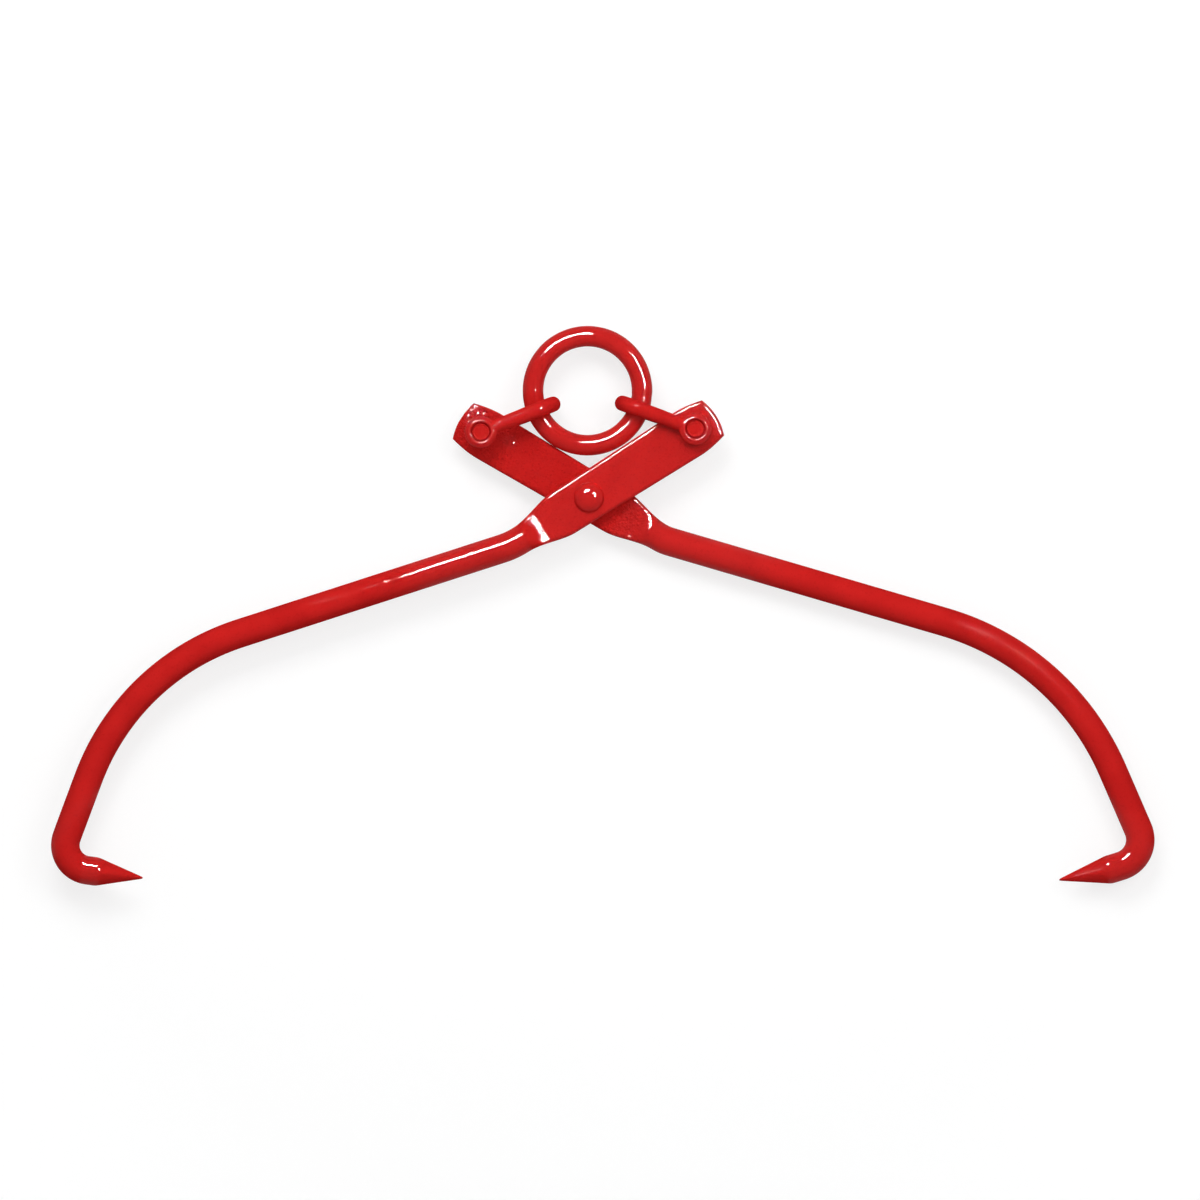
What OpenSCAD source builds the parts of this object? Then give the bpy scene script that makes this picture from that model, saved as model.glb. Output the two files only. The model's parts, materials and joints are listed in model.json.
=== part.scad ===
// Log tongs, shown lying open: two forged arms cross at a domed rivet, each
// bar bows out and turns in to a ground point, and a lifting ring hangs in two
// shackles that are pinned to the flattened upper ends of the arms.
// X runs across the opening, Y from the points to the ring, Z up off the ground.

/* [Bar stock] */
// Diameter of the round bar that both arms are forged from
bar_d = 24; // [20:0.5:27]

/* [Flattened end of an arm] */
// Width across the flat at the rivet
paddle_w = 39.6; // [34:0.2:44]
// Width across the flat at its widest, beside the shackle pin
paddle_wide = 42.2; // [38:0.2:46]
// Width across the two corners of the blunt end
corner_w = 34.6; // [28:0.2:40]
// Thickness of the flat
paddle_t = 11; // [8:0.5:14]
// Radius of its forged edges
edge_r = 3.2; // [1:0.1:3.5]
// Distance from the rivet to where the sides begin to curve in
curve_from = 97; // [90:0.5:104]
// Distance from the rivet to the end corners
corner_at = 122.4; // [118:0.2:132]
// How far the blunt end bulges past its corners
end_bulge = 3.2; // [1:0.1:6]
// Distance from the rivet, on the bar side, to where the flat begins to narrow
narrow_from = 25; // [18:0.5:29]
// Distance from the rivet to where the flat begins to thicken
thick_from = 38; // [34:0.5:44]
// Distance from the rivet to where it has the full thickness of the bar
thick_to = 58; // [50:0.5:62]
// Distance from the rivet to where the bar is round
round_from = 66; // [63:0.5:76]

/* [Front arm, with the left point] */
// Turn of the bar just past the flat, in degrees
front_neck = 14.5; // [8:0.1:20]
// Middle radius of that turn
front_neck_r = 66; // [45:1:120]
// Straight run down to the belly bend
front_run = 229.2; // [190:0.2:260]
// Middle radius of the belly bend
front_belly_r = 199.2; // [170:0.2:230]
// Angle of the belly bend
front_belly = 51.7; // [40:0.1:60]
// Straight run between the belly and the hook
front_shank = 51.7; // [35:0.1:80]
// Middle radius of the tight hook bend
front_hook_r = 21; // [18:0.5:34]
// Angle of the hook bend
front_hook = 102.6; // [90:0.5:110]
// Straight stub before the point
front_stub = 8.4; // [4:0.1:20]
// Length of the ground point
front_point = 38.1; // [30:0.1:50]
// Distance of the middle line of the flat above the rivet
front_rise = 0.6; // [0:0.1:2]

/* [Rear arm, with the right point] */
// Turn of the bar just past the flat, in degrees
rear_neck = 14.3; // [8:0.1:20]
// Middle radius of that turn
rear_neck_r = 40; // [36:1:120]
// Straight run down to the belly bend
rear_run = 238; // [200:0.2:260]
// Middle radius of the belly bend
rear_belly_r = 218.8; // [190:0.2:250]
// Angle of the belly bend
rear_belly = 50.3; // [40:0.1:60]
// Straight run between the belly and the hook
rear_shank = 53.4; // [35:0.1:80]
// Middle radius of the tight hook bend
rear_hook_r = 22.6; // [18:0.1:34]
// Angle of the hook bend
rear_hook = 96.1; // [84:0.1:104]
// Straight stub before the point
rear_stub = 7.4; // [4:0.1:20]
// Lean of the point off the stub, in degrees
rear_lean = 5.5; // [1:0.1:8]
// Length of the ground point
rear_point = 41.6; // [30:0.2:50]
// Distance of the middle line of the flat above the rivet
rear_rise = 1.5; // [0:0.1:2]

/* [How the open tongs lie] */
// Angle between the two shackle pins, seen from the rivet
spread = 116.2; // [112:0.2:120]
// How far the whole linkage lies turned to the left
lie = 0.8; // [-3:0.1:3]
// Turn of the front flat off the line from rivet to pin
front_skew = -0.3; // [-1:0.1:1]
// Turn of the rear flat off the line from rivet to pin
rear_skew = 0.5; // [-1:0.1:1]
// Distance from the rivet to each shackle pin
pin_reach = 104.8; // [103:0.2:112]

/* [Rivet] */
// Diameter of the rivet shank
rivet_d = 16; // [12:0.5:18]
// Diameter of its domed heads
rivet_head_d = 25; // [22:0.5:30]
// Height of its domed heads
rivet_head_h = 8; // [6:0.5:10]
// Straight rim below each dome
rivet_rim = 0.8; // [0.4:0.1:1.5]

/* [Lifting ring] */
// Outer diameter of the ring
ring_od = 108; // [100:0.2:114]
// Diameter of the ring's bar
ring_d = 17.4; // [14:0.1:18]

/* [Shackles and pins] */
// Diameter of the rod that a shackle is bent from
rod_d = 12; // [10:0.5:13]
// Outer diameter of a shackle's eyes
eye_od = 26.6; // [25:0.2:29]
// Radius of the eyes' rounded rims
eye_round = 3; // [2:0.1:3.2]
// Diameter of the pin's shank
pin_d = 12.7; // [11:0.1:13.5]
// Depth of the pin's ends below the crests of the eyes
pin_recess = 1; // [0.6:0.1:1.6]

/* [Clearances] */
// Air between the two flats, and between a flat and what lies on it
lap = 0.3; // [0.2:0.05:0.6]
// Radial running clearance of a rivet or pin in its bore
fit = 0.05; // [0.02:0.01:0.1]
// Air between the ring and what it touches
ring_air = 0.3; // [0.3:0.05:0.6]

/* [Hidden] */
$fn = 64;

enamel = [0.80, 0.10, 0.10];
enamel_shade = [0.70, 0.08, 0.09];

bar_r = bar_d / 2;
ring_mid = (ring_od - ring_d) / 2;

// Heights of the pieces over the middle plane of the linkage.
flat_z = (paddle_t + lap) / 2;
yoke_gap = 2 * paddle_t + 3 * lap;
rod_z = (yoke_gap + rod_d) / 2;
eye_top = yoke_gap / 2 + rod_d;

// Directions of the two shackle pins from the rivet.
front_way = 90 + lie - spread / 2;
rear_way = 90 + lie + spread / 2;

// The ring rests in the V of the two flats. Its bar is a circle of ring_d and
// the flat's edge a circle of edge_r whose centre is lower by seat_drop.
function smooth(x) = let (u = min(max(x, 0), 1)) u * u * (3 - 2 * u);
function base_w(t) = (paddle_w + (paddle_wide - paddle_w) * t / curve_from) / 2;
seat_at = (paddle_w + ring_od) / 2 / tan(spread / 2);
seat_drop = lap / 2 + edge_r;
seat_span = sqrt(pow(ring_d / 2 + edge_r + ring_air, 2) - pow(seat_drop, 2));
front_seat = (base_w(seat_at) - edge_r + seat_span + ring_mid + front_rise)
    / sin(spread / 2 - front_skew);
rear_seat = (base_w(seat_at) - edge_r + seat_span + ring_mid + rear_rise)
    / sin(spread / 2 + rear_skew);
ring_up = max(front_seat, rear_seat);

// Each shackle then reaches from its pin round the ring's bar.
ring_reach = sqrt(pow(ring_up, 2) + pow(pin_reach, 2)
    - 2 * ring_up * pin_reach * cos(spread / 2));
bow_in = ring_reach - ring_mid + ring_d / 2 + ring_air;
leg_end = bow_in + rod_d / 2 - rod_z;
half_swing = asin(pin_reach * sin(spread / 2) / ring_reach);

// A point on a bar's middle line, with the direction it runs in.
function ahead(s, d) = [s[0] + d * cos(s[2]), s[1] + d * sin(s[2]), s[2]];
function middle(s, r, a) = [s[0] - sign(a) * r * sin(s[2]),
    s[1] + sign(a) * r * cos(s[2])];
function around(s, r, a) = let (c = middle(s, r, a))
    [c[0] + sign(a) * r * sin(s[2] + a), c[1] - sign(a) * r * cos(s[2] + a), s[2] + a];

// Each arm's bar, in order: neck turn and radius, run, belly radius and turn,
// shank, hook radius and turn, stub, lean of the point, length of the point.
front_bar = [front_neck, front_neck_r, front_run, front_belly_r, front_belly,
    front_shank, front_hook_r, front_hook, front_stub, 0, front_point];
rear_bar = [rear_neck, rear_neck_r, rear_run, rear_belly_r, rear_belly,
    rear_shank, rear_hook_r, rear_hook, rear_stub, rear_lean, rear_point];
lean_r = 40;
// Radius of a point's blunt tip, overlap of runs and bends, how much thinner a
// bend is drawn, and the straight collar between the flat and the neck.
point_r = 0.8;
seam = 0.5;
drawn = 0.08;
collar = 1;

// Where a bar enters its hook bend, and where its point begins.
function arm_start(way, skew, rise, hand) = ahead([-hand * rise * sin(way),
    hand * rise * cos(way), way + skew + 180], round_from + collar);
function hook_start(s, p, hand) = ahead(around(ahead(around(s, p[1], -hand * p[0]),
    p[2]), p[3], hand * p[4]), p[5]);
function stub_end(s, p, hand) = ahead(around(hook_start(s, p, hand), p[6],
    hand * p[7]), p[8]);
function point_start(s, p, hand) = p[9] == 0 ? stub_end(s, p, hand)
    : around(stub_end(s, p, hand), lean_r, hand * p[9]);

// The outline of the whole object, which sets the origin.
front_start = arm_start(front_way, front_skew, front_rise, 1);
rear_start = arm_start(rear_way, rear_skew, rear_rise, -1);
front_hook_mid = middle(hook_start(front_start, front_bar, 1), front_hook_r, 1);
rear_hook_mid = middle(hook_start(rear_start, rear_bar, -1), rear_hook_r, -1);
front_tip = point_start(front_start, front_bar, 1);
rear_tip = point_start(rear_start, rear_bar, -1);
left_x = front_hook_mid[0] - front_hook_r - bar_r;
right_x = rear_hook_mid[0] + rear_hook_r + bar_r;
low_y = min(front_tip[1] - bar_r * abs(cos(front_tip[2])),
    rear_tip[1] - bar_r * abs(cos(rear_tip[2])));
ring_c = [-ring_up * sin(lie), ring_up * cos(lie)];
high_y = ring_c[1] + ring_od / 2;
origin = [-(left_x + right_x) / 2, -(low_y + high_y) / 2, eye_top];

// The flattened end, from its blunt end to the round bar, as rings of points.
// A quarter of a ring has arc_n points on its rounded edge and flat_n on the flat.
arc_n = 3;
flat_n = 4;
quarter_n = arc_n + flat_n;
ring_pts = 4 * quarter_n;
function half_w(t) = base_w(t)
    + (bar_r - base_w(t)) * smooth((-t - narrow_from) / (round_from - narrow_from))
    - (paddle_wide - corner_w) / 2 * pow(max(t - curve_from, 0) / (corner_at - curve_from), 2)
    - (t > curve_from ? base_w(t) - paddle_wide / 2 : 0);
function half_t(t) = paddle_t / 2
    + (bar_d - paddle_t) / 2 * smooth((-t - thick_from) / (thick_to - thick_from));
function bulge(t) = end_bulge * smooth((t - curve_from) / (corner_at - curve_from));
function roundness(t) = smooth((-t - thick_from) / (round_from - thick_from));
function flat_quarter(w, h, c) = concat(
    [for (k = [0 : arc_n - 1]) let (a = 90 * (k + 0.5) / arc_n)
        [w - c + c * cos(a), h - c + c * sin(a)]],
    [for (k = [0 : flat_n - 1]) [(w - c) * (1 - (k + 0.5) / flat_n), h]]);
function round_quarter(w, h) = [for (k = [0 : quarter_n - 1])
    let (a = 90 * (k + 0.5) / quarter_n) [w * cos(a), h * sin(a)]];
function section(t, w, h, c, s) = let (b = bulge(t),
    q = (1 - s) * flat_quarter(w, h, c) + s * round_quarter(w, h),
    r = [for (k = [quarter_n - 1 : -1 : 0]) q[k]])
    [for (p = concat(q, [for (v = r) [-v[0], v[1]]], [for (v = q) -v],
        [for (v = r) [v[0], -v[1]]]))
        [t + b * (1 - pow(p[0] / (corner_w / 2), 2)), p[0], p[1]]];
// The rounded rim of the blunt end takes the first three rings.
rim_rings = [for (a = [90, 60, 30]) let (t = corner_at - edge_r + edge_r * sin(a),
    i = edge_r * (1 - cos(a)))
    section(t, half_w(t) - i, half_t(t) - i, max(edge_r - i, 0.3), 0)];
side_rings = [for (i = [5 : -1 : 0]) let (t = curve_from
    + (corner_at - edge_r - curve_from) * i / 5)
    section(t, half_w(t), half_t(t), edge_r, 0)];
narrow_rings = [for (t = [-narrow_from, -(narrow_from + thick_from) / 2])
    section(t, half_w(t), half_t(t), edge_r, 0)];
thick_rings = [for (i = [0 : 5]) let (t = -thick_from - (thick_to - thick_from) * i / 5)
    section(t, half_w(t), half_t(t), edge_r, roundness(t))];
// The last ring stands just outside the round bar that enters it.
end_r = bar_r / cos(180 / ring_pts) + drawn;
round_ring = [section(-round_from, end_r, end_r, edge_r, 1)];
paddle_rings = concat(rim_rings, side_rings, narrow_rings, thick_rings, round_ring);

function ring_faces(rings) = [for (i = [0 : rings - 2], j = [0 : ring_pts - 1])
    let (a = i * ring_pts, b = a + ring_pts, k = (j + 1) % ring_pts)
    [a + j, a + k, b + k, b + j]];
function end_strips(first, flip) = [for (j = [0 : ring_pts / 2 - 2])
    let (m = ring_pts - 1)
    flip ? [first + j, first + m - j, first + m - j - 1, first + j + 1]
        : [first + j, first + j + 1, first + m - j - 1, first + m - j]];

module paddle() {
    count = len(paddle_rings);
    polyhedron(
        points = [for (r = paddle_rings, p = r) p],
        faces = concat(ring_faces(count), end_strips(0, true),
            end_strips((count - 1) * ring_pts, false)),
        convexity = 6);
}

// A straight piece of bar, with what follows at its far end. It reaches a
// little way into the bends at both ends, which are drawn a hair thinner.
module run(length) {
    translate([-seam, 0, 0])
        rotate([0, 90, 0])
            cylinder(r = bar_r, h = length + 2 * seam);
    translate([length, 0, 0])
        children();
}

// A bend in the bar, to the left for a positive angle.
module bend(r, a) {
    side = sign(a);
    translate([0, side * r, 0])
        rotate([0, 0, a > 0 ? -90 : 90 + a])
            rotate_extrude(angle = abs(a))
                translate([r, 0])
                    circle(r = bar_r - drawn);
    translate([r * sin(abs(a)), side * r * (1 - cos(a)), 0])
        rotate([0, 0, a])
            children();
}

// The straight end of the bar with its ground point, slightly blunted.
module point(stub, length) {
    rotate([0, 90, 0])
        rotate_extrude()
            polygon([[0, -seam], [bar_r, -seam], [bar_r, stub],
                [point_r, stub + length], [0, stub + length]]);
}

// The end of a bar past its hook bend.
module pointed_stub(p, hand) {
    if (p[9] == 0)
        point(p[8], p[10]);
    else
        run(p[8])
            bend(lean_r, hand * p[9])
                point(0, p[10]);
}

// The round bar from the flat's shoulder down to the point. It starts inside
// the flat, whose last ring stands just outside it.
module round_bar(p, hand) {
    translate([-round_from, 0, 0])
        rotate([0, 0, 180])
            run(collar)
                bend(p[1], -hand * p[0])
                    run(p[2])
                        bend(p[3], hand * p[4])
                            run(p[5])
                                bend(p[6], hand * p[7])
                                    pointed_stub(p, hand);
}

// An arm along X, with the rivet's bore at zero and the pin's at pin_reach.
module arm(p, hand, skew, rise) {
    difference() {
        translate([0, hand * rise, 0])
            rotate([0, 0, skew]) {
                paddle();
                round_bar(p, hand);
            }
        cylinder(d = rivet_d + 2 * fit, h = 2 * paddle_t, center = true);
        translate([pin_reach, 0, 0])
            cylinder(d = pin_d + 2 * fit, h = 2 * paddle_t, center = true);
    }
}

// One domed head with its rim, on the plane z = 0.
module rivet_head() {
    dome_h = rivet_head_h - rivet_rim;
    dome_r = (pow(rivet_head_d / 2, 2) + pow(dome_h, 2)) / (2 * dome_h);
    cylinder(d = rivet_head_d, h = rivet_rim);
    translate([0, 0, rivet_rim])
        intersection() {
            translate([0, 0, dome_h - dome_r])
                sphere(r = dome_r);
            cylinder(r = rivet_head_d, h = rivet_head_h);
        }
}

// The round eye at the end of a shackle's leg, on the plane z = 0.
module eye() {
    hole_r = pin_d / 2 + fit;
    rim_w = eye_od / 2 - hole_r;
    rotate_extrude()
        translate([hole_r, 0]) {
            translate([eye_round, 0])
                square([rim_w - 2 * eye_round, rod_d]);
            translate([0, eye_round])
                square([rim_w, rod_d - 2 * eye_round]);
            for (x = [eye_round, rim_w - eye_round], y = [eye_round, rod_d - eye_round])
                translate([x, y])
                    circle(r = eye_round);
        }
}

// A shackle along X, with its pin's axis at zero and its bow round the ring.
module shackle() {
    hole_r = pin_d / 2 + fit;
    leg_from = (hole_r + eye_od / 2) / 2;
    for (side = [0, 1])
        mirror([0, 0, side]) {
            translate([0, 0, yoke_gap / 2])
                eye();
            translate([leg_from, 0, rod_z])
                rotate([0, 90, 0])
                    cylinder(d = rod_d, h = leg_end - leg_from);
        }
    translate([leg_end, 0, 0])
        rotate([90, 0, 0])
            rotate([0, 0, -90])
                rotate_extrude(angle = 180)
                    translate([rod_z, 0])
                        circle(d = rod_d);
}

// A pin through both eyes, its ends swelled into their rounded mouths.
module pin() {
    end_z = eye_top - pin_recess;
    mouth_z = eye_top - eye_round;
    cylinder(d = pin_d, h = 2 * end_z, center = true);
    for (side = [0, 1])
        mirror([0, 0, side])
            rotate_extrude()
                difference() {
                    translate([0, mouth_z])
                        square([pin_d / 2 + fit + eye_round, end_z - mouth_z]);
                    translate([pin_d / 2 + fit + eye_round, mouth_z])
                        circle(r = eye_round + fit);
                }
}

// Places a child on the front arm's or the rear arm's pin, toward the ring.
module at_right_pin() {
    rotate([0, 0, front_way])
        translate([pin_reach, 0, 0])
            rotate([0, 0, 90 + lie + half_swing - front_way])
                children();
}

module at_left_pin() {
    rotate([0, 0, rear_way])
        translate([pin_reach, 0, 0])
            rotate([0, 0, 90 + lie - half_swing - rear_way])
                children();
}

module front_arm() {
    color(enamel)
        translate(origin + [0, 0, flat_z])
            rotate([0, 0, front_way])
                arm(front_bar, 1, front_skew, front_rise);
}

module rear_arm() {
    color(enamel)
        translate(origin - [0, 0, flat_z])
            rotate([0, 0, rear_way])
                arm(rear_bar, -1, rear_skew, rear_rise);
}

module pivot_rivet() {
    head_z = paddle_t + lap / 2 + lap / 2;
    color(enamel_shade)
        translate(origin) {
            cylinder(d = rivet_d, h = 2 * head_z, center = true);
            for (side = [0, 1])
                mirror([0, 0, side])
                    translate([0, 0, head_z])
                        rivet_head();
        }
}

module lifting_ring() {
    color(enamel)
        translate(origin + [ring_c[0], ring_c[1], 0])
            rotate_extrude()
                translate([ring_mid, 0])
                    circle(d = ring_d);
}

module left_shackle() {
    color(enamel)
        translate(origin)
            at_left_pin()
                shackle();
}

module right_shackle() {
    color(enamel)
        translate(origin)
            at_right_pin()
                shackle();
}

module left_pin() {
    color(enamel_shade)
        translate(origin)
            at_left_pin()
                pin();
}

module right_pin() {
    color(enamel_shade)
        translate(origin)
            at_right_pin()
                pin();
}

front_arm();
rear_arm();
pivot_rivet();
lifting_ring();
left_shackle();
right_shackle();
left_pin();
right_pin();
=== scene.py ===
import json
import math

import bpy
from mathutils import Matrix, Vector, noise


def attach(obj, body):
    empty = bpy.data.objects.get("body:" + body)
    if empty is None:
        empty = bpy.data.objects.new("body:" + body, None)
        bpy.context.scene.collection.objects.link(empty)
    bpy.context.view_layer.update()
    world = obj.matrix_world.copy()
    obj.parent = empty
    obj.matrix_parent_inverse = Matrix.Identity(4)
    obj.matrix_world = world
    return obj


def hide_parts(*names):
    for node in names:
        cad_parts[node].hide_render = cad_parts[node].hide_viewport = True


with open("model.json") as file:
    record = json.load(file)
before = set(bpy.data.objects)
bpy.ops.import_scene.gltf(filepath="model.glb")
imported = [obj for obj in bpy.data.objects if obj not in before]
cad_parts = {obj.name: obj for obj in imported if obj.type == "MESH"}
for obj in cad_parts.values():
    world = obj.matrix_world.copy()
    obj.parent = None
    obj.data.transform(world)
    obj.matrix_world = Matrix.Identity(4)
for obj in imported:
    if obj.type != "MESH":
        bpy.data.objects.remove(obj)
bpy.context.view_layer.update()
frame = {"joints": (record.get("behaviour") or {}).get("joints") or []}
mm = 0.001
places = {joint["name"]: Vector(joint["pos_m"]) for joint in frame["joints"]}
pivot = places["front_arm_swing"]


# Arms: each is one round steel bar, 24 mm thick, whose upper end is hammered to
# a flat and whose lower end is bent to a belly and a hook and ground to a point.
# The rivet and a shackle pin go through the flat. All of it is dipped in enamel.
bar_r = 11.95 * mm
bar_sides = 80
flat_thick = 11 * mm
flat_edge = 3.1 * mm
end_edge = 3.8 * mm
lap = 0.3 * mm
rivet_bore_r = 8.05 * mm
pin_bore_r = 6.4 * mm
pin_reach = 104.8 * mm
round_from = 66 * mm
corner_at = 122.4 * mm
curve_from = 97 * mm
end_bulge = 3.2 * mm
corner_half = 17.3 * mm


def socket(group, name, way, kind="NodeSocketFloat", value=None):
    made = group.interface.new_socket(name=name, in_out=way, socket_type=kind)
    if value is not None:
        made.default_value = value


def enamel_skin_group():
    """Colour, roughness and height of red enamel that was dipped over forged steel."""
    group = bpy.data.node_groups.new("enamel_skin", "ShaderNodeTree")
    socket(group, "Place", "INPUT", "NodeSocketVector")
    socket(group, "Fresh", "INPUT", "NodeSocketColor", (0.595, 0.016, 0.0145, 1))
    socket(group, "Thin", "INPUT", "NodeSocketColor", (0.43, 0.008, 0.008, 1))
    socket(group, "Peel", "INPUT", value=0.4)
    socket(group, "Marks", "INPUT", value=0.5)
    socket(group, "Hammered", "INPUT", value=0.0)
    socket(group, "Dull", "INPUT", value=0.0)
    socket(group, "Color", "OUTPUT", "NodeSocketColor")
    socket(group, "Roughness", "OUTPUT")
    socket(group, "Gloss", "OUTPUT")
    socket(group, "Height", "OUTPUT")
    nodes, links = group.nodes, group.links
    given = nodes.new("NodeGroupInput")
    out = nodes.new("NodeGroupOutput")

    def noisy(scale, detail):
        n = nodes.new("ShaderNodeTexNoise")
        n.inputs["Scale"].default_value = scale
        n.inputs["Detail"].default_value = detail
        links.new(given.outputs["Place"], n.inputs["Vector"])
        return n.outputs["Fac"]

    def sum_of(what, a, b):
        n = nodes.new("ShaderNodeMath")
        n.operation = what
        for i, v in enumerate((a, b)):
            if isinstance(v, (int, float)):
                n.inputs[i].default_value = v
            else:
                links.new(v, n.inputs[i])
        return n.outputs[0]

    def ramp(value, low, high, to_low=0.0, to_high=1.0):
        n = nodes.new("ShaderNodeMapRange")
        n.interpolation_type = "SMOOTHSTEP"
        links.new(value, n.inputs["Value"])
        n.inputs["From Min"].default_value = low
        n.inputs["From Max"].default_value = high
        n.inputs["To Min"].default_value = to_low
        n.inputs["To Max"].default_value = to_high
        return n.outputs["Result"]

    clouds = noisy(28, 3)
    grain = noisy(520, 4)
    peel = noisy(900, 2)
    marks = noisy(170, 3)
    thinning = sum_of("MULTIPLY", ramp(clouds, 0.35, 0.7), 0.3)
    strength = sum_of("ADD", sum_of("MULTIPLY", given.outputs["Hammered"], 0.03), 0.27)
    speck = sum_of("MULTIPLY", ramp(grain, 0.55, 0.68), strength)
    mixed = nodes.new("ShaderNodeMix")
    mixed.data_type = "RGBA"
    links.new(sum_of("ADD", thinning, speck), mixed.inputs["Factor"])
    links.new(given.outputs["Fresh"], mixed.inputs["A"])
    links.new(given.outputs["Thin"], mixed.inputs["B"])
    links.new(mixed.outputs["Result"], out.inputs["Color"])
    links.new(ramp(grain, 0.35, 0.75, 0.35, 0.5), out.inputs["Roughness"])
    dulled = sum_of("SUBTRACT", grain, sum_of("MULTIPLY", given.outputs["Dull"], 0.6))
    links.new(ramp(dulled, 0.12, 0.3, 0.005, 0.2), out.inputs["Gloss"])
    height = sum_of(
        "ADD",
        sum_of("MULTIPLY", peel, given.outputs["Peel"]),
        sum_of("MULTIPLY", ramp(marks, 0.4, 0.75), given.outputs["Marks"]),
    )
    height = sum_of("ADD", height, sum_of("MULTIPLY", grain, given.outputs["Hammered"]))
    links.new(height, out.inputs["Height"])
    return group


enamel_skin = enamel_skin_group()


def enamel(name, peel, marks, relief):
    """Glossy red enamel, rough or dull where a piece's attributes say so."""
    material = bpy.data.materials.new(name)
    material.use_nodes = True
    nodes, links = material.node_tree.nodes, material.node_tree.links
    shader = nodes["Principled BSDF"]
    place = nodes.new("ShaderNodeTexCoord")
    skin = nodes.new("ShaderNodeGroup")
    skin.node_tree = enamel_skin
    skin.inputs["Peel"].default_value = peel
    skin.inputs["Marks"].default_value = marks
    for attribute, wanted in (("hammered", "Hammered"), ("dull", "Dull")):
        painted = nodes.new("ShaderNodeAttribute")
        painted.attribute_name = attribute
        links.new(painted.outputs["Fac"], skin.inputs[wanted])
    bump = nodes.new("ShaderNodeBump")
    bump.inputs["Distance"].default_value = relief
    links.new(place.outputs["Object"], skin.inputs["Place"])
    links.new(skin.outputs["Color"], shader.inputs["Base Color"])
    links.new(skin.outputs["Roughness"], shader.inputs["Roughness"])
    links.new(skin.outputs["Gloss"], shader.inputs["Coat Weight"])
    links.new(skin.outputs["Height"], bump.inputs["Height"])
    links.new(bump.outputs["Normal"], shader.inputs["Normal"])
    shader.inputs["Specular IOR Level"].default_value = 0
    shader.inputs["Coat Roughness"].default_value = 0.03
    return material


arm_enamel = enamel("arm_enamel", 0.3, 0.4, 0.12 * mm)
small_enamel = enamel("small_enamel", 0.3, 0.3, 0.1 * mm)


def deselect():
    bpy.ops.object.select_all(action="DESELECT")


def smooth(x):
    x = min(max(x, 0.0), 1.0)
    return x * x * (3 - 2 * x)


def mix(a, b, share):
    return a + (b - a) * share


def apply_modifier(piece, name, kind, **values):
    modifier = piece.modifiers.new(name, kind)
    for key, value in values.items():
        setattr(modifier, key, value)
    deselect()
    piece.select_set(True)
    bpy.context.view_layer.objects.active = piece
    bpy.ops.object.modifier_apply(modifier=modifier.name)


def half_width(t):
    """Half the flat's width at t, measured from the rivet toward its blunt end."""
    wide = mix(19.8, 21.1, t / curve_from) * mm
    if t > curve_from:
        return 21.1 * mm - 3.8 * mm * ((t - curve_from) / (corner_at - curve_from)) ** 2
    return mix(wide, bar_r, smooth((-t - 25 * mm) / (round_from - 25 * mm)))


def front_rise(back):
    """Half the front flat's thickness, back from the rivet: two slopes with a crease."""
    first = min(max(back - 45.2 * mm, 0.0), 5.8 * mm) * 0.296
    second = max(back - 51 * mm, 0.0) * 0.46
    return min(flat_thick / 2 + first + second, bar_r)


def rear_rise(back):
    """Half the rear flat's thickness, back from the rivet: one smooth swelling."""
    return mix(flat_thick / 2, bar_r, smooth((back - 43 * mm) / (15 * mm)))


def hammered(angle, half_w, half_t):
    """Where a point of the bar's round outline lies once the bar is hammered flat."""
    side, corner = 4.5, 27.0
    turn = abs(math.degrees(angle))
    quarter = min(turn, 180 - turn)
    if quarter <= side:
        y, z = half_w, (half_t - flat_edge) * quarter / side
    elif quarter <= side + corner:
        a = (quarter - side) / corner * math.pi / 2
        y = half_w - flat_edge + flat_edge * math.cos(a)
        z = half_t - flat_edge + flat_edge * math.sin(a)
    else:
        y = (half_w - flat_edge) * (90 - quarter) / (90 - side - corner)
        z = half_t
    return (y if turn <= 90 else -y), math.copysign(z, angle)


def hammer(piece, rise, round_after):
    """Flattens the upper end of a bar that lies along X."""
    for v in piece.data.vertices:
        t = v.co.x
        if t < -round_from - 0.01 * mm:
            continue
        angle = math.atan2(v.co.z, v.co.y)
        half_w, half_t = half_width(t), rise(-t)
        y, z = hammered(angle, half_w, half_t)
        rounded = smooth((-t - round_after) / (round_from - round_after))
        y = mix(y, half_w * math.cos(angle), rounded)
        z = mix(z, half_t * math.sin(angle), rounded)
        to_end = corner_at - t
        if to_end < end_edge:
            fall = end_edge - max(to_end, 0.0)
            top = half_t - flat_edge + flat_edge * math.sqrt(max(1 - (fall / end_edge) ** 2, 0.0))
            z = math.copysign(min(abs(z), top), z)
        bow = end_bulge * smooth((t - curve_from) / (corner_at - curve_from))
        v.co = (t + bow * (1 - (y / corner_half) ** 2), y, z)


def bumps(place, size):
    """Soft bumps of about that size, from 0 to 1."""
    return 0.5 + 0.5 * noise.noise(place / size)


def on_flat(place):
    """1 on the flat and 0 on the round bar."""
    return 1 - smooth((-place.x - 44 * mm) / (20 * mm))


def front_marks(place):
    """Depth of the front arm's forging marks: a smooth flat with a pitted crease."""
    flat = on_flat(place)
    depth = 0.06 * mm * flat * bumps(place, 11 * mm)
    depth += 0.05 * mm * bumps(place, 16 * mm)
    crease = smooth((-place.x - 44 * mm) / (2 * mm)) * smooth((place.x + 53 * mm) / (4 * mm))
    pits = smooth((bumps(place, 1.6 * mm) - 0.5) / 0.14)
    return depth + 0.22 * mm * crease * pits


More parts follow.
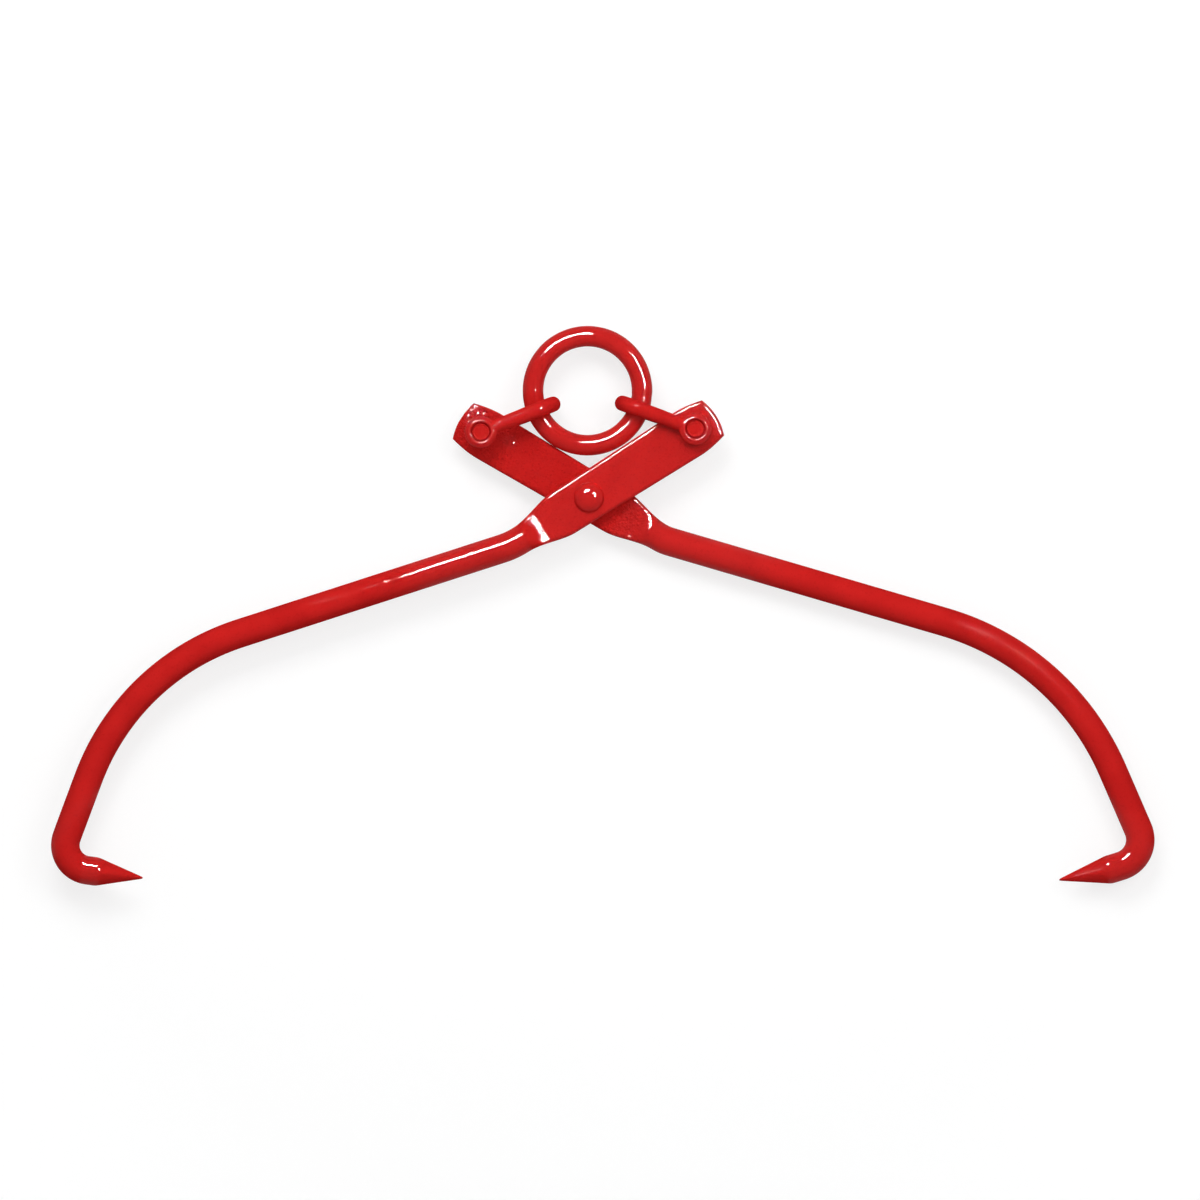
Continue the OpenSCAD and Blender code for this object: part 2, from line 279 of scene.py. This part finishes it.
def rear_spots(place):
    """1 where the rear flat was struck hardest: at its end, by the pin and on a line."""
    end = smooth((place.x - 105 * mm) / (4 * mm)) * (1 - smooth(place.y / (6 * mm)))
    spot = 1 - smooth((Vector((place.x - 80 * mm, place.y + 5 * mm)).length - 3 * mm) / (6 * mm))
    line = max(1 - abs(place.y - 6.2 * mm) / (1.6 * mm), 0.0)
    line *= smooth((place.x - 22 * mm) / (3 * mm)) * (1 - smooth((place.x - 52 * mm) / (4 * mm)))
    return end, spot, line


def rear_marks(place):
    """Depth of the rear arm's forging marks."""
    flat = on_flat(place)
    end, spot, line = rear_spots(place)
    low = smooth((4 * mm - place.x) / (12 * mm))
    rough = 0.25 + max(1.65 * end, 1.2 * spot, line) + 0.5 * low
    inner = smooth((half_width(place.x) - abs(place.y) - 3 * mm) / (2 * mm))
    depth = 0.05 * mm * bumps(place, 16 * mm) + 0.12 * mm * flat * bumps(place, 9 * mm)
    return depth + 0.5 * mm * flat * rough * inner * bumps(place, 2.5 * mm)


def roughen(piece, marks):
    """Presses forging marks into a piece, never out of it."""
    normals = [v.normal.copy() for v in piece.data.vertices]
    for v, normal in zip(piece.data.vertices, normals):
        v.co -= normal * marks(v.co)


def refine(piece, wanted):
    """Halves the faces where a piece has finer marks than its mesh could hold."""
    deselect()
    piece.select_set(True)
    bpy.context.view_layer.objects.active = piece
    bpy.ops.object.mode_set(mode="EDIT")
    bpy.ops.mesh.select_mode(type="FACE")
    bpy.ops.mesh.select_all(action="DESELECT")
    bpy.ops.object.mode_set(mode="OBJECT")
    for face in piece.data.polygons:
        face.select = wanted(face.center)
    bpy.ops.object.mode_set(mode="EDIT")
    bpy.ops.mesh.subdivide(number_cuts=1)
    bpy.ops.object.mode_set(mode="OBJECT")


class Bar:
    """A round bar being drawn out in edit mode: the selected ring is its open end."""

    def __init__(self, start, heading):
        self.at = Vector(start)
        self.heading = heading

    def straight(self, length, steps, end_scale=1.0):
        ahead = Vector((math.cos(self.heading), math.sin(self.heading), 0))
        for i in range(steps):
            before = mix(1.0, end_scale, i / steps)
            after = mix(1.0, end_scale, (i + 1) / steps)
            move = ahead * (length / steps)
            self.at += move
            bpy.ops.mesh.extrude_region_move(TRANSFORM_OT_translate={"value": move})
            if end_scale != 1.0:
                grow = after / before
                bpy.ops.transform.resize(value=(grow, grow, grow), center_override=self.at)

    def bend(self, radius, turn, steps):
        side = math.copysign(1, turn)
        left = Vector((-math.sin(self.heading), math.cos(self.heading), 0))
        centre = self.at + left * side * radius
        bpy.ops.mesh.spin(steps=steps, angle=-math.radians(turn), center=centre, axis=(0, 0, 1))
        self.at = centre + Matrix.Rotation(math.radians(turn), 3, "Z") @ (self.at - centre)
        self.heading += math.radians(turn)


def pick(piece, wanted):
    """Selects only the vertices whose numbers are wanted, and stays in edit mode."""
    bpy.ops.object.mode_set(mode="EDIT")
    bpy.ops.mesh.select_mode(type="VERT")
    bpy.ops.mesh.select_all(action="DESELECT")
    bpy.ops.object.mode_set(mode="OBJECT")
    for i in wanted:
        piece.data.vertices[i].select = True
    bpy.ops.object.mode_set(mode="EDIT")


def ring_at(piece, x):
    """The vertices that stand at x."""
    bpy.ops.object.mode_set(mode="OBJECT")
    return [v.index for v in piece.data.vertices if abs(v.co.x - x) < 0.01 * mm]


def boundary(piece):
    """The vertices on an open edge of a piece."""
    count = {}
    for face in piece.data.polygons:
        for key in face.edge_keys:
            count[key] = count.get(key, 0) + 1
    return {i for key, times in count.items() if times == 1 for i in key}


def drawn_bar(name):
    """The bar's first ring, where the flat ends, in edit mode."""
    deselect()
    bpy.ops.mesh.primitive_circle_add(
        vertices=bar_sides, radius=bar_r, location=(-round_from, 0, 0),
        rotation=(0, math.pi / 2, 0))
    bpy.ops.object.transform_apply(location=True, rotation=True, scale=True)
    piece = bpy.context.object
    piece.name = name
    piece.data.name = name
    bpy.ops.object.mode_set(mode="EDIT")
    bpy.ops.mesh.select_mode(type="VERT")
    bpy.ops.mesh.select_all(action="SELECT")
    return piece


def bored(piece, at, radius):
    deselect()
    bpy.ops.mesh.primitive_cylinder_add(vertices=96, radius=radius, depth=60 * mm, location=at)
    drill = bpy.context.object
    apply_modifier(piece, "bore", "BOOLEAN", operation="DIFFERENCE", solver="EXACT", object=drill)
    bpy.data.objects.remove(drill)


def placed(piece, at, turn, material):
    """Puts a finished mesh in its place and gives it its enamel."""
    piece.data.transform(Matrix.Translation(at) @ Matrix.Rotation(turn, 4, "Z"))
    piece.data.materials.clear()
    piece.data.materials.append(material)
    deselect()
    piece.select_set(True)
    bpy.context.view_layer.objects.active = piece
    bpy.ops.object.shade_smooth()


def grind(piece, tip, heading, length):
    """Grinds the round cone at the bar's end to four faces with soft ridges."""
    ahead = Vector((math.cos(heading), math.sin(heading), 0))
    left = Vector((-math.sin(heading), math.cos(heading), 0))
    for v in piece.data.vertices:
        arm_out = v.co - tip
        behind = -arm_out.dot(ahead)
        if behind > length or arm_out.length > 1.5 * length:
            continue
        y, z = arm_out.dot(left), arm_out.z
        radius = math.hypot(y, z)
        if radius < 0.1 * mm:
            continue
        power = mix(2, 1.5, smooth((length - behind) / (7 * mm)))
        square = (abs(y / radius) ** power + abs(z / radius) ** power) ** (-1 / power)
        v.co = tip - ahead * behind + left * y * square + Vector((0, 0, z * square))


def dullness(place, tip, length):
    """How dull the enamel is: less is left on the bar's far part and the ground point."""
    to_tip = (place - tip).length
    ground = 1 - smooth((to_tip - length + 1 * mm) / (2 * mm))
    by_hook = 1 - smooth((to_tip - 66 * mm) / (30 * mm))
    faded = smooth((-place.x - 105 * mm) / (100 * mm)) * (1 - by_hook)
    return 0.9 * max(ground, faded)


def front_dullness(place, tip, length):
    """As on any bar, and in the hollow between the flat's crease and the bar."""
    ragged = 3 * mm * bumps(place, 2.4 * mm)
    hollow = smooth((ragged - place.x - 53 * mm) / (1 * mm))
    hollow *= 1 - smooth((-place.x - 62 * mm) / (2 * mm))
    to_tip = (place - tip).length
    bend = smooth((to_tip - 51 * mm) / (2 * mm)) * (1 - smooth((to_tip - 70 * mm) / (12 * mm)))
    return max(dullness(place, tip, length), 0.95 * hollow, 0.72 * bend)


def rear_dullness(place, tip, length):
    """As on any bar, and all over the flat but for the places that were struck hardest."""
    flat = smooth((place.x + 34 * mm) / (6 * mm))
    bright = min(sum(rear_spots(place)), 1) * (1 - smooth((place.x - 121 * mm) / (1.5 * mm)))
    return max(dullness(place, tip, length), 0.9 * flat * (1 - bright))


def paint(piece, name, values):
    attribute = piece.data.attributes.new(name, "FLOAT", "POINT")
    attribute.data.foreach_set("value", values)


def arm(name, hand, way, skew, rise, neck, neck_r, run, belly_r, belly, shank, hook_r, hook,
        stub, lean, point, thickness, round_after, marks, fine_marks, texture, dull):
    """An arm in its place. Its bar bends to the left where hand is 1."""
    piece = drawn_bar(name)
    fine, coarse = 1.35 * mm, 8 * mm
    draw = Bar((-round_from, 0, 0), 0)
    draw.straight(round_from + curve_from, round((round_from + curve_from) / fine))
    draw.straight(corner_at - curve_from - end_edge, 18)
    for i in range(6):
        near = 1 - math.sin(math.radians(15 * i))
        far = 1 - math.sin(math.radians(15 * (i + 1)))
        draw.straight(end_edge * (near - far), 1)
    pick(piece, ring_at(piece, -round_from))
    bar = Bar((-round_from, 0, 0), math.pi)
    bar.straight(1 * mm, 1)
    bar.bend(neck_r * mm, -hand * neck, 7)
    bar.straight(run * mm, round(run * mm / coarse))
    bar.bend(belly_r * mm, hand * belly, 38)
    bar.straight(shank * mm, round(shank * mm / coarse))
    bar.bend(hook_r * mm, hand * hook, 18)
    bar.straight(stub * mm, 3)
    if lean:
        bar.bend(40 * mm, hand * lean, 2)
    bar.straight(point * mm, 12, end_scale=0.8 * mm / bar_r)
    bar.straight(0.2 * mm, 1, end_scale=0.5)
    bpy.ops.mesh.merge(type="CENTER")
    bpy.ops.object.mode_set(mode="OBJECT")
    grind(piece, bar.at, bar.heading, point * mm)
    hammer(piece, thickness, round_after)
    pick(piece, boundary(piece))
    for share in (0.5, 0.01):
        bpy.ops.mesh.extrude_region_move()
        bpy.ops.transform.resize(value=(1, 1, share), center_override=(0, 0, 0))
    bpy.ops.mesh.remove_doubles(threshold=0.12 * mm)
    bpy.ops.mesh.select_all(action="SELECT")
    bpy.ops.mesh.normals_make_consistent(inside=False)
    bpy.ops.object.mode_set(mode="OBJECT")
    apply_modifier(piece, "round_off", "SUBSURF", levels=1, render_levels=1)
    refine(piece, fine_marks)
    roughen(piece, marks)
    seat = Matrix.Translation((0, hand * rise * mm, 0)) @ Matrix.Rotation(math.radians(skew), 4, "Z")
    piece.data.transform(seat)
    bored(piece, (0, 0, 0), rivet_bore_r)
    bored(piece, (pin_reach, 0, 0), pin_bore_r)
    back = seat.inverted()
    places_along = [back @ v.co for v in piece.data.vertices]
    paint(piece, "hammered", [texture * on_flat(at) for at in places_along])
    paint(piece, "dull", [dull(at, bar.at, point * mm) for at in places_along])
    lift = hand * (flat_thick + lap) / 2
    placed(piece, pivot + Vector((0, 0, lift)), math.radians(way), arm_enamel)
    return piece


front = arm(
    "front_arm_forging", 1, 32.7, -0.3, 0.6, 14.5, 66, 229.2, 199.2, 51.7, 51.7, 21, 102.6,
    8.4, 0, 38.1, front_rise, 51 * mm, front_marks,
    lambda place: -52.5 * mm < place.x < -44 * mm, 4.5, front_dullness)
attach(front, "front_arm")
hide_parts("front_arm")

rear = arm(
    "rear_arm_forging", -1, 148.9, 0.5, 1.5, 14.3, 40, 238, 218.8, 50.3, 53.4, 22.6, 96.1,
    7.4, 5.5, 41.6, rear_rise, 44 * mm, rear_marks,
    lambda place: max(rear_spots(place)) > 0.15, 11, rear_dullness)
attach(rear, "rear_arm")
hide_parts("rear_arm")

# Rivet: one steel rivet holds both flats. Its shank fills their bores and both
# of its ends are hammered to round heads, with enamel gathered round their rims.
rivet_r = 8 * mm
head_r = 12.5 * mm
head_base = 11.3 * mm
head_top = 19.3 * mm
tip = 0.005 * mm


def arc(middle_r, middle_z, wide, high, start, end, steps):
    """Points of an ellipse's arc, as radii and heights, from start to end in degrees."""
    points = []
    for i in range(steps + 1):
        a = math.radians(mix(start, end, i / steps))
        points.append((middle_r + wide * math.cos(a), middle_z + high * math.sin(a)))
    return points


def turned(name, profile, sides=96):
    """A piece round Z: a ring drawn along its profile of radii and heights."""
    deselect()
    radius, height = profile[0]
    bpy.ops.mesh.primitive_circle_add(vertices=sides, radius=radius, location=(0, 0, height))
    bpy.ops.object.transform_apply(location=True, rotation=True, scale=True)
    piece = bpy.context.object
    piece.name = name
    piece.data.name = name
    bpy.ops.object.mode_set(mode="EDIT")
    bpy.ops.mesh.select_mode(type="VERT")
    bpy.ops.mesh.select_all(action="SELECT")
    for to_radius, to_height in profile[1:]:
        move = (0, 0, to_height - height)
        grow = to_radius / radius
        bpy.ops.mesh.extrude_region_move(TRANSFORM_OT_translate={"value": move})
        bpy.ops.transform.resize(value=(grow, grow, 1), center_override=(0, 0, to_height))
        radius, height = to_radius, to_height
    bpy.ops.mesh.select_all(action="SELECT")
    bpy.ops.mesh.remove_doubles(threshold=0.02 * mm)
    bpy.ops.mesh.normals_make_consistent(inside=False)
    bpy.ops.object.mode_set(mode="OBJECT")
    return piece


def mirrored(half):
    """A profile that runs on below the middle plane as it does above it."""
    return half + [(radius, -height) for radius, height in reversed(half)]


rim_at = head_base + 0.9 * mm
head = arc(0, rim_at, head_r - 0.4 * mm, head_top - rim_at, 90, 6, 20)
head[0] = (tip, head_top)
rivet = turned("domed_rivet", mirrored(
    head + [(head_r - 0.3 * mm, head_base + 0.45 * mm), (head_r, head_base + 0.05 * mm),
            (head_r - 0.6 * mm, head_base - 0.02 * mm), (rivet_r, head_base - 0.02 * mm)]))
roughen(rivet, lambda place: 0.12 * mm * bumps(place, 7 * mm))
placed(rivet, pivot, 0, small_enamel)
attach(rivet, "pivot")
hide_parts("pivot_rivet")

# Lifting ring: round steel bar bent to a ring and welded shut. It lies in the V
# of the two flats and hangs in the bows of the shackles.
ring_r = 45.3 * mm
ring_bar_r = 8.69 * mm
weld_way = math.radians(-6)


def ring_marks(place):
    """Depth of the ring's marks: bending waves, and a shallow trough at the weld."""
    away = ring_r * (math.atan2(place.y, place.x) - weld_way)
    weld = math.exp(-(away / (2.2 * mm)) ** 2)
    waves = 0.16 * mm * bumps(place, 14 * mm) + 0.05 * mm * bumps(place, 5 * mm)
    return waves + weld * (0.12 * mm + 0.16 * mm * bumps(place, 2.4 * mm))


deselect()
bpy.ops.mesh.primitive_torus_add(
    major_segments=280, minor_segments=64, major_radius=ring_r, minor_radius=ring_bar_r)
ring = bpy.context.object
ring.name = "welded_ring"
ring.data.name = "welded_ring"
roughen(ring, ring_marks)
thin_from, thin_to = math.radians(183), math.radians(213)
paint(ring, "dull", [
    0.95 * smooth(1.5 - abs(math.atan2(-v.co.y, -v.co.x) - (thin_from + thin_to) / 2 + math.pi)
                 / (thin_to - thin_from) * 2)
    for v in ring.data.vertices])
placed(ring, places["ring_turn"], 0, small_enamel)
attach(ring, "ring")
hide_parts("lifting_ring")

# Shackles: each is a U of 12 mm round rod whose ends are forged to thick eyes.
# The U goes round the ring's bar, and the eyes lie on both faces of the flat.
rod_r = 5.95 * mm
eye_r = 13.3 * mm
ridge_at = 9.4 * mm
ridge_r = 2.1 * mm
mouth_r = 8.3 * mm
eye_bore_r = 6.4 * mm
eye_base = 11.5 * mm
eye_top = 23.4 * mm
rod_at = 17.45 * mm
leg_from = 10.5 * mm
leg_end = 47.25 * mm


def eye_profile():
    """The section of an eye: a round edge, a cone up to a ridge, and its dished mouth."""
    corner_r = 2 * mm
    cone_foot = (12.3 * mm, eye_top - 1.52 * mm)
    corner = (cone_foot[0] - corner_r * 0.5, cone_foot[1] - corner_r * 0.866)
    outline = arc(corner[0], corner[1], eye_r - corner[0], corner_r, 0, 60, 8)
    outline += arc(ridge_at, eye_top - ridge_r, ridge_r, ridge_r, 60, 120, 8)
    outline += [(8.4 * mm, eye_top - 0.5 * mm), (8.0 * mm, eye_top - 1.1 * mm),
                (7.7 * mm, eye_top - 2.2 * mm), (7.5 * mm, eye_top - 3.2 * mm)]
    outline += [(eye_bore_r, eye_top - 3.6 * mm), (eye_bore_r, eye_base)]
    outline += arc(eye_r - 2 * mm, eye_base + 2 * mm, 2 * mm, 2 * mm, -90, 0, 6)
    return outline + [outline[0]]


def bent_rod():
    """The U of rod, its bow toward X. It is bent in the upright plane."""
    deselect()
    bpy.ops.mesh.primitive_circle_add(
        vertices=48, radius=rod_r, fill_type="NGON", location=(leg_from, 0, rod_at),
        rotation=(0, math.pi / 2, 0))
    bpy.ops.object.transform_apply(location=True, rotation=True, scale=True)
    rod = bpy.context.object
    leg = leg_end - leg_from
    bpy.ops.object.mode_set(mode="EDIT")
    bpy.ops.mesh.select_all(action="SELECT")
    for i in range(12):
        bpy.ops.mesh.extrude_region_move(TRANSFORM_OT_translate={"value": (leg / 12, 0, 0)})
    bpy.ops.mesh.spin(steps=40, angle=-math.pi, center=(leg_end, 0, 0), axis=(0, 1, 0))
    for i in range(12):
        bpy.ops.mesh.extrude_region_move(TRANSFORM_OT_translate={"value": (-leg / 12, 0, 0)})
    bpy.ops.mesh.select_all(action="SELECT")
    bpy.ops.mesh.normals_make_consistent(inside=False)
    bpy.ops.object.mode_set(mode="OBJECT")
    for v in rod.data.vertices:
        v.co.y *= mix(0.97, 1.08, smooth((v.co.x - 14 * mm) / (44 * mm)))
    return rod


def shackle(name):
    """A shackle with its pin's axis on Z, forged in one with its two eyes."""
    eye = turned(name, eye_profile())
    low_eye = eye.copy()
    low_eye.data = eye.data.copy()
    bpy.context.scene.collection.objects.link(low_eye)
    low_eye.data.transform(Matrix.Rotation(math.pi, 4, "X"))
    rod = bent_rod()
    deselect()
    for part in (rod, low_eye, eye):
        part.select_set(True)
    bpy.context.view_layer.objects.active = eye
    bpy.ops.object.join()
    apply_modifier(eye, "forge", "REMESH", mode="VOXEL", voxel_size=0.38 * mm)
    neck = eye.vertex_groups.new(name="neck")
    for v in eye.data.vertices:
        reach = math.hypot(v.co.x, v.co.y)
        near = 1 - smooth((abs(reach - 13.5 * mm) - 1.2 * mm) / (3.5 * mm))
        if v.co.x > 5 * mm and near > 0:
            neck.add([v.index], near, "REPLACE")
    apply_modifier(eye, "fillet", "SMOOTH", factor=0.5, iterations=60, vertex_group="neck")
    apply_modifier(eye, "even", "SMOOTH", factor=0.5, iterations=3)
    roughen(eye, lambda place: 0.14 * mm * bumps(place, 8 * mm) + 0.1 * mm * bumps(place, 2.6 * mm))
    reaches = [math.hypot(v.co.x, v.co.y) for v in eye.data.vertices]
    paint(eye, "dull", [
        max(0.78 * smooth((v.co.x - 8 * mm) / (4 * mm)), 1 - smooth((reach - mouth_r) / (0.4 * mm)))
        for v, reach in zip(eye.data.vertices, reaches)])
    return eye


ring_centre = places["ring_turn"]
for side in ("left", "right"):
    pin_at = places[side + "_shackle_swing"]
    toward = ring_centre - pin_at
    forging = shackle(side + "_shackle_forging")
    placed(forging, pin_at, math.atan2(toward.y, toward.x), small_enamel)
    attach(forging, side + "_shackle")
    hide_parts(side + "_shackle")

# Shackle pins: each is a steel pin through both eyes and the flat, its ends
# hammered out in the mouths of the eyes and left slightly dished.
pin_r = 6.35 * mm
pin_face = 22.42 * mm
pin_rim = [(tip, pin_face - 0.5 * mm)]
pin_rim += [(radius * mm, pin_face - 0.5 * mm) for radius in (0.8, 1.6, 2.4, 3.2, 3.9, 4.5, 4.9)]
pin_rim += [(5.4 * mm, pin_face - 0.42 * mm), (5.8 * mm, pin_face - 0.3 * mm)]
pin_rim += arc(6.4 * mm, pin_face - 0.5 * mm, 0.55 * mm, 0.5 * mm, 125, 0, 7)
pin_rim += [(6.95 * mm, pin_face - 1.4 * mm), (pin_r, pin_face - 2.2 * mm), (pin_r, 11 * mm)]
for side in ("left", "right"):
    pin = turned(side + "_dished_pin", mirrored(pin_rim))
    roughen(pin, lambda place: 0.05 * mm * bumps(place, 3.5 * mm))
    paint(pin, "dull", [0.9] * len(pin.data.vertices))
    placed(pin, places[side + "_shackle_swing"], 0, small_enamel)
    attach(pin, side + "_shackle")
    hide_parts(side + "_pin")

# Studio: the tongs lie on a plain white table under two soft boxes, and the
# camera hangs straight above, as in the photograph. A low white wall stands far off.
pixel = 0.831 * mm
picture = 1200
pivot_in_picture = (589.0, 497.5)
middle = Vector((
    pivot.x + (picture / 2 - pivot_in_picture[0]) * pixel,
    pivot.y - (picture / 2 - pivot_in_picture[1]) * pixel,
    pivot.z,
))
camera_height = 8.0
camera_data = bpy.data.cameras.new("camera")
camera_data.sensor_width = 36
camera_data.lens = camera_data.sensor_width * camera_height / (picture * pixel)
camera = bpy.data.objects.new("camera", camera_data)
camera.location = middle + Vector((0, 0, camera_height))
bpy.context.scene.collection.objects.link(camera)
bpy.context.scene.camera = camera

table_r = 40
wall_high = 5
white = bpy.data.materials.new("table_white")
white.use_nodes = True
nodes, links = white.node_tree.nodes, white.node_tree.links
shader = nodes["Principled BSDF"]
shader.inputs["Base Color"].default_value = (0.3, 0.3, 0.3, 1)
shader.inputs["Roughness"].default_value = 0.9
shader.inputs["Specular IOR Level"].default_value = 0
rays = nodes.new("ShaderNodeLightPath")
seen = rays.outputs["Is Camera Ray"]
for kind in ("Is Glossy Ray", "Is Transmission Ray"):
    most = nodes.new("ShaderNodeMath")
    most.operation = "MAXIMUM"
    links.new(seen, most.inputs[0])
    links.new(rays.outputs[kind], most.inputs[1])
    seen = most.outputs[0]
spot = nodes.new("ShaderNodeTexCoord")
away = nodes.new("ShaderNodeVectorMath")
away.operation = "LENGTH"
links.new(spot.outputs["Object"], away.inputs[0])
fade = nodes.new("ShaderNodeMapRange")
fade.inputs["From Min"].default_value = 0.5
fade.inputs["From Max"].default_value = 3
fade.inputs["To Min"].default_value = 0.74
fade.inputs["To Max"].default_value = 1.0
links.new(away.outputs["Value"], fade.inputs["Value"])
glow = nodes.new("ShaderNodeMath")
glow.operation = "MULTIPLY"
links.new(seen, glow.inputs[0])
links.new(fade.outputs["Result"], glow.inputs[1])
shader.inputs["Emission Color"].default_value = (1, 1, 1, 1)
links.new(glow.outputs[0], shader.inputs["Emission Strength"])

deselect()
bpy.ops.mesh.primitive_circle_add(vertices=96, radius=table_r, fill_type="NGON")
table = bpy.context.object
table.name = "table"
table.data.materials.append(white)
deselect()
bpy.ops.mesh.primitive_cylinder_add(
    vertices=96, radius=table_r, depth=wall_high, end_fill_type="NOTHING",
    location=(0, 0, wall_high / 2))
bpy.ops.object.transform_apply(location=True, rotation=True, scale=True)
wall = bpy.context.object
wall.name = "far_wall"
wall.data.materials.append(white)

world = bpy.data.worlds.new("studio")
bpy.context.scene.world = world
world.use_nodes = True
nodes, links = world.node_tree.nodes, world.node_tree.links
sky = nodes.new("ShaderNodeTexCoord")
split = nodes.new("ShaderNodeSeparateXYZ")
dim = nodes.new("ShaderNodeMapRange")
dim.inputs["From Min"].default_value = 0.1
dim.inputs["From Max"].default_value = 0.8
dim.inputs["To Min"].default_value = 0.5
dim.inputs["To Max"].default_value = 0.45
links.new(sky.outputs["Generated"], split.inputs[0])
links.new(split.outputs["Z"], dim.inputs["Value"])
links.new(dim.outputs["Result"], nodes["Background"].inputs["Strength"])
nodes["Background"].inputs["Color"].default_value = (1, 1, 1, 1)


def soft_box(name, azimuth, tilt, distance, length, width, watts, diffuse=True):
    """A light that faces the rivet, tilted from the camera's line, its length level."""
    data = bpy.data.lights.new(name, "AREA")
    data.shape = "RECTANGLE"
    data.size = length
    data.size_y = width
    data.energy = watts
    box = bpy.data.objects.new(name, data)
    way = Vector((
        math.sin(math.radians(tilt)) * math.cos(math.radians(azimuth)),
        math.sin(math.radians(tilt)) * math.sin(math.radians(azimuth)),
        math.cos(math.radians(tilt)),
    ))
    box.location = pivot + way * distance
    box.rotation_mode = "QUATERNION"
    box.rotation_quaternion = way.to_track_quat("Z", "Y")
    box.visible_diffuse = diffuse
    box.visible_glossy = not diffuse
    bpy.context.scene.collection.objects.link(box)


soft_box("box_left", 106, 38, 2.6, 1.4, 1.0, 34)
soft_box("box_right", 27, 33, 2.6, 1.2, 0.8, 14)
soft_box("gloss_left", 108, 36, 1.1, 0.54, 0.28, 200, diffuse=False)
soft_box("gloss_right", 28.5, 33, 1.8, 0.65, 0.34, 320, diffuse=False)

bpy.context.scene.view_settings.view_transform = "Standard"
